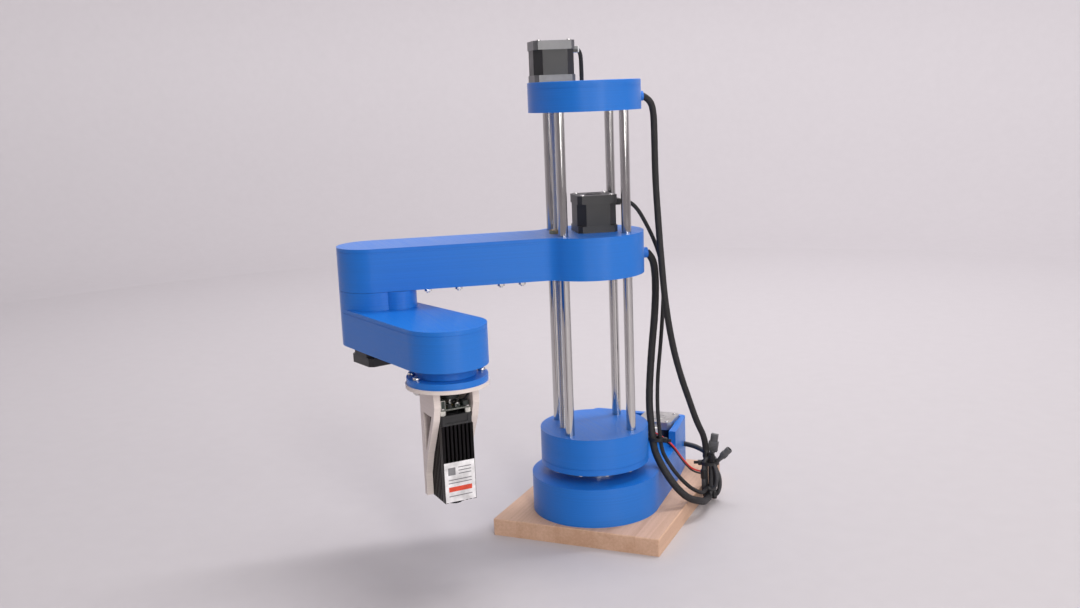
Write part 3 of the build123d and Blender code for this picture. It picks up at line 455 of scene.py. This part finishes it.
def lathe(bm, profile, centre, sides=28, material=0, turn=Matrix.Identity(4)):
    """A solid of revolution about +Z from (radius, height) pairs in millimetres."""
    rings = []
    for radius, height in profile:
        ring = []
        for i in range(sides):
            angle = 2 * math.pi * i / sides
            at = Vector((radius * math.cos(angle), radius * math.sin(angle), height)) + Vector(centre)
            ring.append(bm.verts.new(turn @ (at * MM)))
        rings.append(ring)
    faces = [bm.faces.new(list(reversed(rings[0]))), bm.faces.new(rings[-1])]
    for lower, upper in zip(rings, rings[1:]):
        for i in range(sides):
            j = (i + 1) % sides
            faces.append(bm.faces.new((lower[i], lower[j], upper[j], upper[i])))
    for face in faces:
        face.material_index = material


# ---------------------------------------------------------------- cables
def smooth_line(points):
    """The smooth line that a route's points control, in metres."""
    curve = bpy.data.curves.new("route", "CURVE")
    curve.dimensions = "3D"
    curve.resolution_u = 14
    spline = curve.splines.new("NURBS")
    spline.points.add(len(points) - 1)
    for control, at in zip(spline.points, points):
        control.co = (*(Vector(at) * MM), 1)
    spline.order_u = 3
    spline.use_endpoint_u = True
    holder = bpy.data.objects.new("route", curve)
    mesh = bpy.data.meshes.new_from_object(holder)
    line = [v.co.copy() for v in mesh.vertices]
    bpy.data.objects.remove(holder)
    bpy.data.curves.remove(curve)
    bpy.data.meshes.remove(mesh)
    return line


def round_tube(name, line, diameter, sides=20, uneven=0.02):
    """A tube round a line, a little uneven, with turns round it in U and metres along it in V."""
    rng = random.Random(name)
    phases = [rng.uniform(0, 2 * math.pi) for _ in range(3)]
    bm = bmesh.new()
    uv_layer = bm.loops.layers.uv.new("UVMap")
    tangents = [(line[min(i + 1, len(line) - 1)] - line[max(i - 1, 0)]).normalized() for i in range(len(line))]
    side = tangents[0].orthogonal().normalized()
    rings, distances, run = [], [], 0.0
    for i, (at, tangent) in enumerate(zip(line, tangents)):
        side = (side - tangent * side.dot(tangent)).normalized()
        other = tangent.cross(side)
        if i:
            run += (at - line[i - 1]).length
        ripple = sum(math.sin(run * k + p) for k, p in zip((130, 310, 710), phases)) / 3
        radius = diameter / 2 * (1 - uneven + uneven * ripple)
        ring = []
        for k in range(sides):
            angle = 2 * math.pi * k / sides
            ring.append(bm.verts.new(at + (side * math.cos(angle) + other * math.sin(angle)) * radius))
        rings.append(ring)
        distances.append(run)
    for i in range(len(rings) - 1):
        for k in range(sides):
            n = (k + 1) % sides
            face = bm.faces.new((rings[i][k], rings[i][n], rings[i + 1][n], rings[i + 1][k]))
            corners = ((k, i), (k + 1, i), (k + 1, i + 1), (k, i + 1))
            for loop, (turn, station) in zip(face.loops, corners):
                loop[uv_layer].uv = (turn / sides, distances[station])
    bm.faces.new(list(reversed(rings[0])))
    bm.faces.new(rings[-1])
    return mesh_of(bm, name, 60)


def cable(name, points, diameter, slot, node=None, body=None, across=None, exit=None, mat=None, **facts):
    """A cable along a route that stands for its CAD node and rides on a body, or stays fixed where it is built when
    it runs between two.
    """
    line = smooth_line(points)
    mesh = round_tube(name, line, diameter * MM)
    mesh.materials.append(mat or SLOTS[slot])
    made = bpy.data.objects.new(name, mesh)
    bpy.context.scene.collection.objects.link(made)
    if across:
        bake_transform(made)
    else:
        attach(made, body)
    if node:
        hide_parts(*([node] if isinstance(node, str) else node))


TOP_LOOM = [(51.6, 36.1, 463), (58, 40.5, 459), (61.5, 42, 447), (62.5, 40, 421), (63, 39, 376),
            (67, 34, 330), (71.5, 28, 288), (76, 26, 240), (82, 31, 194), (87, 42, 160),
            (92, 56, 130), (96, 71, 101), (101, 91, 74), (101, 91, 56.1)]
ARM_LOOM_UPPER = [(52.3, 38, 297), (57, 41.5, 291.5), (59, 44.5, 277), (58.5, 47, 252), (56, 48.5, 222),
                  (53, 47, 192), (51, 43.5, 156), (51, 39.5, 132), (53, 35.5, 113), (57, 30.5, 91)]
ARM_LOOM_LOWER = [(57, 30.5, 91), (59, 28, 80), (66, 21.5, 70), (76.5, 14, 58), (88, 16, 41),
                  (98.5, 25, 27), (107, 39, 20), (108, 55, 13.5), (106, 70, 10), (106, 81.9, 10)]
JOINT_2_LEAD_UPPER = [(26.6, 21.6, 354), (35, 27.3, 354.4), (44, 32, 346), (52, 36, 330), (60, 41, 310),
                      (66, 46, 286), (67, 49, 254), (64, 52, 222), (61, 52.5, 190), (58.5, 49.5, 160),
                      (59, 44, 136), (61, 38.5, 112), (65.5, 32.5, 88)]
JOINT_2_LEAD_LOWER = [(65.5, 32.5, 88), (67.5, 29.8, 77.5), (75, 26.5, 67), (84, 28, 53), (96, 35, 37),
                      (104, 49, 26), (105, 66, 20), (104, 81.9, 20)]
MOTOR_WIRES = [(36, 104.2, 75), (36.6, 99, 75.4), (41, 92.5, 76), (52, 86, 74), (65, 81.5, 67),
               (75, 79, 55), (84, 80, 44), (90, 86, 38), (96.9, 87, 37)]
TAIL_LEAD = [(57.5, 146.5, 48), (70, 145.4, 47.4), (83, 137.5, 46), (96, 125, 45), (107, 114, 43),
             (107, 102.1, 43)]
Z_MOTOR_LEAD = [(6.7, 0, 512.4), (4.4, 0, 512), (2.6, 0.3, 507), (2.2, 0.8, 497), (2.3, 0.8, 480.7)]
HANK_FRONT = [(106, 81.9, 10), (106, 85, 8.5), (106.6, 88, 12), (107, 90, 22), (107, 91, 34), (106.6, 91.2, 45),
              (104.5, 89.5, 53), (101.2, 86.6, 53), (99.8, 85.2, 45), (99.6, 84.9, 32), (99.6, 85, 18),
              (100.4, 86.5, 8), (103, 90.5, 5), (105, 94.2, 10), (105.2, 95, 20), (104.6, 95.8, 34),
              (105, 96.4, 46), (106.5, 98, 56)]
HANK_SIDE = [(101, 91, 56.1), (101, 91, 50), (100.7, 91.8, 42), (99.9, 93.5, 30), (100, 95.2, 17), (101.2, 97.6, 8),
             (105, 99.3, 4.8), (110, 99.2, 5.6), (113.6, 97.8, 11), (115.9, 96, 20), (115.6, 94, 31),
             (112.6, 92, 39), (111.2, 91, 44.5), (113.4, 90.2, 49.2), (117.2, 90, 53)]
HANK_LEAD = [(104, 81.9, 20), (104.2, 84.2, 19.6), (107.4, 84.2, 17.5), (111.6, 84.6, 18.5), (114.6, 85, 25),
             (115, 85.4, 35), (113, 86, 43), (110.6, 86.6, 49.5)]
HANK_TAIL = [(107, 102.1, 43), (107, 99.9, 43), (107.8, 97.4, 40.5), (110, 95.8, 35), (110.8, 95, 27),
             (110.2, 94.5, 19), (109.4, 94.3, 13)]


def cables():
    held = dict(far_end="object", stiffness="medium")
    cable("top_cable_loom", TOP_LOOM, 7.2, "braided_sleeve", "top_loom", across=("column", "base", 400, 100),
          lay="hanging", **held)
    cable("arm_cable_loom", ARM_LOOM_UPPER, 8.2, "braided_sleeve", "arm_loom_upper",
          across=("carriage", "column", 285, 120), lay="hanging", **held)
    cable("arm_cable_loom_foot", ARM_LOOM_LOWER, 8.2, "braided_sleeve", "arm_loom_lower",
          across=("column", "base", 90, 40), lay="hanging", **held)
    cable("joint_2_cable", JOINT_2_LEAD_UPPER, 4.4, "braided_sleeve", "joint_2_lead_upper",
          across=("carriage", "column", 300, 120), lay="hanging", **held)
    cable("joint_2_cable_foot", JOINT_2_LEAD_LOWER, 4.4, "braided_sleeve", "joint_2_lead_lower",
          across=("column", "base", 87, 40), lay="hanging", **held)
    to_arm_1 = Matrix.Rotation(math.radians(ARM_1_HEADING), 3, "Z")
    cable("z_motor_cable", [to_arm_1 @ Vector(p) for p in Z_MOTOR_LEAD], 4.4, "braided_sleeve", "z_motor_lead",
          body="column", lay="hanging", **held)
    below = [(x, y, z - 2.5) for x, y, z in MOTOR_WIRES]
    cable("motor_wire_red", MOTOR_WIRES, 2.0, "wire_red", "motor_wires", body="base", lay="hanging",
          far_end="object", stiffness="limp")
    cable("motor_wire_black", below, 2.0, "wire_red", body="base", lay="hanging", mat=WIRE_BLACK,
          far_end="object", stiffness="limp")
    cable("tail_cable", TAIL_LEAD, 6.0, "cable_grey", "tail_lead", body="base", lay="hanging", **held)
    limp = dict(slot="cable_grey", body="base", stiffness="limp", lay="coiled")
    cable("hank_cable_front", HANK_FRONT, 5.0, node="cable_hank", far_end="plug",
          with_pieces=["flat_plug"], **limp)
    cable("hank_cable_side", HANK_SIDE, 5.0, far_end="connector", with_pieces=["round_connector"], **limp)
    cable("hank_cable_lead", HANK_LEAD, 4.4, far_end="connector", with_pieces=["lead_connector"], **limp)
    cable("hank_cable_tail", HANK_TAIL, 5.0, far_end="connector", with_pieces=["tail_connector"], **limp)
    low = heights("driver_board")[0] / MM + 6.1
    for name, shift in (("laser_wire_first", 0.0), ("laser_wire_second", 1.6)):
        route = [(8 + shift, 11.5, low + 5), (9.4 + shift, 14, low + 9), (8.6 + shift, 17.4, low + 14),
                 (3.4 + shift, 16, low + 18), (-0.6 + shift, 9.6, low + 18.6), (-1.4 + shift, 3, low + 22.4)]
        cable(name, [(ON_LASER @ (Vector(p) * MM)) / MM for p in route], 1.4, "black_plastic", body="tool",
              lay="hanging", far_end="object", stiffness="limp", mat=WIRE_BLACK)


# ---------------------------------------------------------------- plugs, ties and joints on the cables
def plugs():
    grey = SLOTS["plug_grey"]
    tilt = Matrix.Translation(Vector((106.5, 98, 56)) * MM) @ Matrix.Rotation(math.radians(8), 4, "Y")
    bm = bmesh.new()
    bevelled_box(bm, (11, 6, 12), (0, 0, 9), 0.9, turn=tilt)
    bevelled_box(bm, (8.2, 4.6, 9), (0, 0, 19.3), 0.5, turn=tilt)
    bevelled_box(bm, (4.4, 0.8, 8), (0, -2.4, 18.6), 0.2, turn=tilt)
    for z in (5, 6.8, 8.6, 10.4):
        bevelled_box(bm, (8.4, 6.7, 0.8), (0, 0, z), 0.2, turn=tilt)
    lathe(bm, [(2.7, 0), (2.9, 1.2), (3.2, 3.2), (3.0, 3.6)], (0, 0, 0), turn=tilt)
    flat = piece("flat_plug", mesh_of(bm, "flat_plug"), "base", [grey])
    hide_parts("hank_plugs")
    lean = Matrix.Translation(Vector((117.2, 90, 53)) * MM) @ Matrix.Rotation(math.radians(42), 4, "Y")
    bm = bmesh.new()
    profile = [(2.6, -0.2), (2.8, 2), (3.0, 2.2), (3.1, 4), (3.9, 4.6), (4.0, 10.6), (3.5, 11), (3.5, 11.8),
               (3.9, 12.2), (3.9, 16.6), (3.4, 17.2), (2.6, 17.2), (2.5, 13.4)]
    lathe(bm, profile, (0, 0, 0), turn=lean)
    for i in range(12):
        ridge = lean @ Matrix.Rotation(2 * math.pi * i / 12, 4, "Z")
        bevelled_box(bm, (0.5, 0.7, 5.2), (3.95, 0, 7.6), 0.15, turn=ridge)
    piece("round_connector", mesh_of(bm, "round_connector"), "base", [grey])
    bm = bmesh.new()
    rise = Matrix.Translation(Vector((110.6, 86.6, 49.2)) * MM) @ Matrix.Rotation(math.radians(-14), 4, "Y")
    bevelled_box(bm, (6.4, 4.6, 9), (0, 0, 4.5), 0.4, turn=rise)
    bevelled_box(bm, (5.4, 3.6, 3), (0, 0, 10.2), 0.3, turn=rise)
    bevelled_box(bm, (2.2, 0.8, 6), (0, -2.5, 6.4), 0.2, turn=rise)
    piece("lead_connector", mesh_of(bm, "lead_connector"), "base", [TIE_BLACK])
    bm = bmesh.new()
    profile = [(2.7, -9.5), (3.1, -9), (3.1, -5), (2.9, -4.6), (3.2, -4.2), (3.2, -0.4), (2.6, 0.4)]
    lathe(bm, profile, (109.4, 94.3, 13))
    piece("tail_connector", mesh_of(bm, "tail_connector"), "base", [TIE_BLACK])


def shrink_sleeves():
    """Heat-shrink sleeves where a thick sleeve hands over to a thinner cable."""
    bm = bmesh.new()
    toward = Vector((0, 1, 0.0)).to_track_quat("Z", "Y").to_matrix().to_4x4()
    foot = Matrix.Translation(Vector((106, 79.5, 10)) * MM) @ toward
    lathe(bm, [(4.2, -3), (4.4, -2.6), (4.4, 2), (3.1, 4.6), (2.8, 6)], (0, 0, 0), turn=foot)
    lathe(bm, [(2.6, 49.6), (2.9, 50.4), (3.9, 54.6), (3.95, 62), (3.7, 62.4)], (101, 91, 0))
    lathe(bm, [(2.7, 29.5), (3.3, 30.2), (3.4, 39.6), (2.7, 40.4)], (99.6, 84.95, 0))
    back = Matrix.Translation(Vector((107, 104, 43)) * MM) @ toward
    lathe(bm, [(2.6, -4.2), (3.2, -2.4), (3.3, 3), (3.1, 3.4)], (0, 0, 0), turn=back)
    piece("shrink_sleeves", mesh_of(bm, "shrink_sleeves"), "base", [TIE_BLACK])


def tie(name, body, at, half_x, half_y, heading, lean=0.0):
    """A cable tie: an oval ribbed band, its head and the cut end of its strap."""
    turn = place(at, heading) @ Matrix.Rotation(math.radians(lean), 4, "Y")
    bm = bmesh.new()
    steps, half_width, thickness = 64, 1.8, 1.1
    rings = []
    for i in range(steps):
        angle = 2 * math.pi * i / steps
        out = Vector((math.cos(angle), math.sin(angle), 0))
        ridge = 0.12 if i % 2 else 0.0
        ring = []
        outer = thickness + ridge
        for grow, z in ((0, -half_width), (outer, -half_width), (outer, half_width), (0, half_width)):
            at_ring = Vector((out.x * (half_x + grow), out.y * (half_y + grow), z))
            ring.append(bm.verts.new(turn @ (at_ring * MM)))
        rings.append(ring)
    for i in range(steps):
        first, second = rings[i], rings[(i + 1) % steps]
        for k in range(4):
            n = (k + 1) % 4
            bm.faces.new((first[k], second[k], second[n], first[n]))
    bevelled_box(bm, (4.2, 5.2, 5.0), (half_x + 2.0, -0.5, 0), 0.5, turn=turn)
    bevelled_box(bm, (6.5, 1.1, 3.4), (half_x + 5.6, -1.2, 0), 0.3, turn=turn)
    piece(name, mesh_of(bm, name), body, [TIE_BLACK])


def ties():
    tie("loom_tie", "column", (60.6, 31.3, 90), 8.2, 4.9, 8, 4)
    tie("hank_tie", "base", (105.6, 90.6, 47.5), 9.4, 7.6, 200)


# ---------------------------------------------------------------- lead screw
def lead_screw():
    """Four-start thread with an 8 mm lead, as ridges that climb round the screw."""
    (low, high), radius, depth, lead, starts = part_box("lead_screw"), 4.0, 0.75, 8.0, 4
    centre = (low + high) / 2
    bottom, top = low.z / MM, high.z / MM
    sides, step = 32, 0.33
    count = int((top - bottom) / step)
    bm = bmesh.new()
    rings = []
    for i in range(count + 1):
        z = bottom + (top - bottom) * i / count
        ring = []
        for k in range(sides):
            turn = k / sides
            phase = ((z / lead + turn) * starts) % 1.0
            ridge = min(1.0, max(0.0, (abs(phase - 0.5) * 2 - 0.30) / 0.32))
            end = min(1.0, (z - bottom) / 0.8, (top - z) / 0.8)
            r = radius - depth * max(ridge, 1 - end)
            at = Vector((r * math.cos(2 * math.pi * turn), r * math.sin(2 * math.pi * turn), z)) * MM
            ring.append(bm.verts.new((centre.x + at.x, centre.y + at.y, at.z)))
        rings.append(ring)
    bm.faces.new(list(reversed(rings[0])))
    bm.faces.new(rings[-1])
    for lower, upper in zip(rings, rings[1:]):
        for k in range(sides):
            n = (k + 1) % sides
            bm.faces.new((lower[k], lower[n], upper[n], upper[k]))
    made = piece("threaded_screw", mesh_of(bm, "threaded_screw", 50), "screw", [SLOTS["rod_steel"]])
    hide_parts("lead_screw")


# ---------------------------------------------------------------- motors and bolts
MOTORS = {
    "z_motor": ("column", ON_ARM_1 @ Matrix.Translation((33.6 * MM, 0, 0)), WHITE_CLIP),
    "j2_motor": ("carriage", ON_ARM_1 @ Matrix.Translation((-7.3 * MM, -3 * MM, 0)), TIE_BLACK),
    "j1_motor": ("base", place((32, 131, 0), 90), WHITE_CLIP),
}


def motor_trim():
    """Screws, a bearing cap and a plug on the rear cap of each upright motor."""
    for node, (body, turn, plug) in MOTORS.items():
        top = heights(node)[1] / MM
        bm = bmesh.new()
        for x in (-15.5, 15.5):
            for y in (-15.5, 15.5):
                lathe(bm, [(2.7, 0), (2.6, 0.7), (1.9, 1.1), (1.1, 1.1), (1.0, 0.3)], (x, y, top), 18, 1, turn)
        cap = [(9.5, 0), (9.3, 0.5), (7.4, 0.6), (7.2, 0.15), (3.4, 0.15), (3.2, 0.5)]
        lathe(bm, cap, (0, 0, top), 40, 0, turn)
        name = node + "_trim"
        mats = [NODES[node].data.materials[0], SLOTS["bolt_steel"]]
        piece(name, mesh_of(bm, name), body, mats)
        bm = bmesh.new()
        bevelled_box(bm, (6.6, 15.2, 6.6), (-24.6, 0, top - 9), 0.5, 0, turn)
        bevelled_box(bm, (5.6, 10.6, 4.4), (-25.8, 0, top - 9), 0.4, 0, turn)
        for i in range(4):
            bevelled_box(bm, (1.6, 1.1, 1.4), (-28.0, -3.6 + 2.4 * i, top - 9), 0.2, 1, turn)
        name = node + "_plug"
        piece(name, mesh_of(bm, name), body, [plug, TIE_BLACK])


def flange_bolts():
    """Button-head bolts with washers and nuts, at the tool flange."""
    low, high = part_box("flange_bolts")
    bottom, top = low.z / MM, high.z / MM
    flange = heights("tool_flange")[1] / MM
    nut = bottom + 1.3
    bm = bmesh.new()
    for x, y in ((5.5, 33.0), (5.5, -33.0), (-16.5, 30.0), (-16.5, -30.0)):
        lathe(bm, [(2.0, bottom), (2.0, flange)], (x, y, 0), 20, 0, ON_TOOL)
        lathe(bm, [(3.6, nut), (3.9, nut + 0.5), (3.9, nut + 2.6), (3.6, nut + 3.1)], (x, y, 0), 6, 0, ON_TOOL)
        head = [(3.4, flange), (3.5, flange + 0.4), (3.5, flange + 1.6), (3.1, flange + 2.8),
                (2.3, top - 0.1), (1.5, top)]
        lathe(bm, head, (x, y, 0), 26, 0, ON_TOOL)
        # a thin black hexagon on each head: painted shade in place of the hex socket
        lathe(bm, [(1.45, top - 0.1), (1.3, top + 0.02)], (x, y, 0), 6, 1, ON_TOOL)
    made = piece("flange_button_bolts", mesh_of(bm, "flange_button_bolts"), "tool",
                 [SLOTS["bolt_steel"], SOCKET_SHADE_BLACK])
    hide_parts("flange_bolts")


# ---------------------------------------------------------------- laser module
def driver_board():
    """The circuit board on its posts, with sockets, small parts and the knurled knob."""
    low = heights("driver_board")[0] / MM
    top = low + 6.1
    rng = random.Random(7)
    bm = bmesh.new()
    bevelled_box(bm, (30.2, 30.2, 1.1), (0, 0, low + 5.3), 0.2, 1, ON_LASER)
    bevelled_box(bm, (29.6, 29.6, 1.6), (0, 0, low + 5.3), 0.2, 0, ON_LASER)
    for x in (-12.6, 12.6):
        for y in (-12.6, 12.6):
            lathe(bm, [(2.7, low), (2.9, low + 0.4), (2.9, low + 4.1), (2.7, low + 4.5)], (x, y, 0), 6, 2, ON_LASER)
            lathe(bm, [(2.3, top), (2.2, top + 0.9), (1.2, top + 1.3)], (x, y, 0), 16, 4, ON_LASER)
    bevelled_box(bm, (9, 4.5, 8.2), (9.5, -12.2, top + 4.1), 0.4, 2, ON_LASER)
    bevelled_box(bm, (6.6, 2.4, 1.2), (9.5, -12.2, top + 8.4), 0.2, 3, ON_LASER)
    bevelled_box(bm, (3.8, 3.8, 3.6), (10.4, 3, top + 1.8), 0.3, 4, ON_LASER)
    lathe(bm, [(1.3, top + 3.5), (1.2, top + 4.0)], (10.4, 3, 0), 16, 4, ON_LASER)
    bevelled_box(bm, (10, 6, 5), (8, 11.5, top + 2.5), 0.4, 3, ON_LASER)
    for x, y, r, tall in ((-10, 7, 2.2, 5.5), (-10, -6, 1.8, 5), (11, -5.5, 1.4, 4)):
        lathe(bm, [(r, top), (r, top + tall - 0.3), (r - 0.3, top + tall)], (x, y, 0), 20, 3, ON_LASER)
    for _ in range(16):
        x, y = rng.uniform(-9, 13.5), rng.uniform(-8.5, 7.5)
        size = rng.choice(((1.6, 0.8, 0.7), (2.0, 1.25, 0.7), (3.0, 2.4, 1.0)))
        bevelled_box(bm, size, (x, y, top + size[2] / 2), 0.1, rng.choice((3, 4, 5)), ON_LASER)
    lathe(bm, [(3.4, top), (3.3, top + 6.8)], (-1, 0, 0), 24, 4, ON_LASER)
    disc = heights("driver_board")[1] / MM
    rim = [(8.9, disc - 4), (9.5, disc - 3.6), (9.5, disc - 0.5), (8.9, disc), (3.0, disc - 0.2)]
    lathe(bm, rim, (-1, 0, 0), 56, 3, ON_LASER)
    for i in range(40):
        grip = ON_LASER @ Matrix.Translation((-1 * MM, 0, 0)) @ Matrix.Rotation(2 * math.pi * i / 40, 4, "Z")
        bevelled_box(bm, (0.7, 0.8, 3.0), (9.4, 0, disc - 2.05), 0.15, 3, grip)
    mats = [SLOTS["circuit_board"], FIBREGLASS, NYLON, SLOTS["black_plastic"], SLOTS["bolt_steel"],
            SLOTS["nut_brass"]]
    made = piece("laser_driver_board", mesh_of(bm, "laser_driver_board"), "tool", mats)
    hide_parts("driver_board")


def label():
    """A plain plate with generic marks: one grey block, a few grey rules and one red bar."""
    low = heights("laser_heatsink")[0] / MM
    width, tall = 31.0, 39.0
    left, top = -width / 2, low + 0.6 + tall
    bm = bmesh.new()
    bevelled_box(bm, (0.3, width, tall), (16.1, 0, top - tall / 2), 0.08, 0, ON_LASER)

    def mark(u, v, wide, high, ink):
        centre = (16.28, left + (u + wide / 2) * width, top - (v + high / 2) * tall)
        bevelled_box(bm, (0.08, wide * width, high * tall), centre, 0, ink, ON_LASER)

    mark(0.12, 0.13, 0.24, 0.19, 1)
    for v in (0.13, 0.21, 0.29):
        mark(0.46, v, 0.42, 0.022, 1)
    for v in (0.43, 0.51, 0.84):
        mark(0.12, v, 0.76, 0.022, 1)
    mark(0.12, 0.62, 0.76, 0.12, 2)
    piece("laser_label", mesh_of(bm, "laser_label"), "tool", [PAPER, INK_GREY, INK_RED])


finish_nodes()
camera()
studio()
floor()
plugs()
shrink_sleeves()
ties()
cables()
lead_screw()
motor_trim()
flange_bolts()
driver_board()
label()
